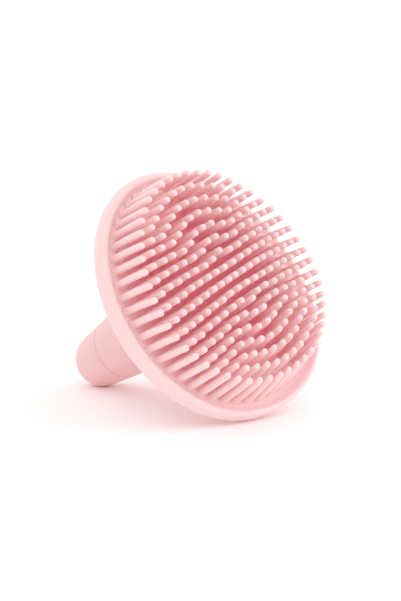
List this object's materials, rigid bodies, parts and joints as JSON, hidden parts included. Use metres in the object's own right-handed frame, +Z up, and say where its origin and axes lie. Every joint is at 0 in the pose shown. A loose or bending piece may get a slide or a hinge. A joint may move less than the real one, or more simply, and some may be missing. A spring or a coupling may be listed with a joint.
{
  "type": "scalp massager brush",
  "caption": "Hand-held scalp massager brush: round dished silicone face with rings of soft round-ended bristles, rolled rim, and a short tapered grip with a screw-on end cap.",
  "frame": {"origin": "on the surface the brush lies on, at the middle of its box", "axes": "+Z up; -Y the way the bristles lean out, +Y towards the end of the grip; the brush's own axis lies in the YZ plane and rises 29.7 degrees towards -Y"},
  "size_m": [0.085, 0.09, 0.0773],
  "materials": {
    "face_silicone": "matte silicone",
    "bristle_silicone": "matte silicone",
    "grip_skin": "soft-touch matte",
    "core_plastic": "natural moulded plastic",
    "screw_steel": "stainless",
    "insert_brass": "machined",
    "seal_rubber": "moulded O-ring"
  },
  "bodies": {
    "brush": {"bristle_pad": "face_silicone", "bristle_centre": "bristle_silicone", "bristle_ring_1": "bristle_silicone", "bristle_ring_2": "bristle_silicone", "bristle_ring_3": "bristle_silicone", "bristle_ring_4": "bristle_silicone", "bristle_ring_5": "bristle_silicone", "bristle_ring_6": "bristle_silicone", "bristle_ring_7": "bristle_silicone", "bristle_ring_8": "bristle_silicone", "bristle_ring_9": "bristle_silicone", "core_plate": "core_plastic", "plate_screws": "screw_steel", "threaded_insert": "insert_brass", "back_shell": "grip_skin", "grip_tube": "core_plastic", "tie_screw": "screw_steel", "screw_washer": "screw_steel"},
    "cap_thread": {"seal_ring": "seal_rubber"},
    "cap": {"grip_cap": "grip_skin", "cap_plug": "core_plastic"}
  },
  "joints": [
    {"name": "cap_lift", "type": "slide", "parent": "brush", "child": "cap_thread", "axis": [0, 0.8687, -0.4954], "range_m": [0, 0.0051]},
    {"name": "cap_turn", "type": "hinge", "parent": "cap_thread", "child": "cap", "pos_m": [0, 0.02689, 0.01435], "axis": [0, 0.8687, -0.4954], "range_deg": [0, 450]}
  ],
  "couplings": [
    {"joint": "cap_lift", "follows": "cap_turn", "m_per_rad": 0.00063662}
  ]
}
